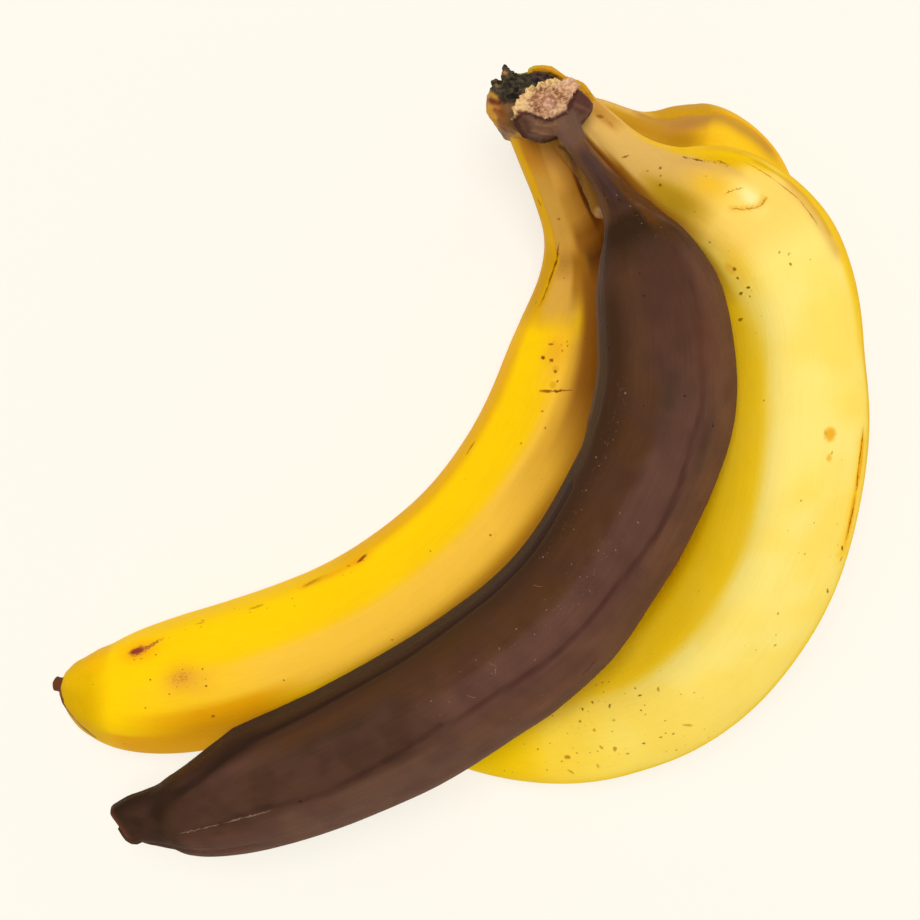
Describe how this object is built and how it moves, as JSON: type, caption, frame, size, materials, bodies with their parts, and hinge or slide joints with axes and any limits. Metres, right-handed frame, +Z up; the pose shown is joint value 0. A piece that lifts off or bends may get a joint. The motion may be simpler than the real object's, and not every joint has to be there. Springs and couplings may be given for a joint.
{
  "type": "bunch of bananas",
  "caption": "Hand of curved ripe fruits on a shared crown, with an overripe brown fruit on top, lying on its side.",
  "frame": {"origin": "middle of the bunch's footprint, on the surface that it lies on", "axes": "+Z up, +Y towards the crown, +X towards the outside of the hand's curve"},
  "size_m": [0.1958, 0.1866, 0.0862],
  "materials": {
    "crown_skin": "olive-yellow skin with a dark dried cut, matt",
    "yellow_peel": "ripe yellow peel with small brown marks, waxy satin",
    "pale_yellow_peel": "ripe pale yellow peel with brown specks, waxy satin",
    "brown_peel": "overripe dark brown peel, wrinkled along its length, satin"
  },
  "bodies": {
    "root": {"crown": "crown_skin", "banana_left": "yellow_peel", "banana_right": "pale_yellow_peel", "banana_back": "yellow_peel", "banana_brown": "brown_peel"}
  },
  "joints": []
}
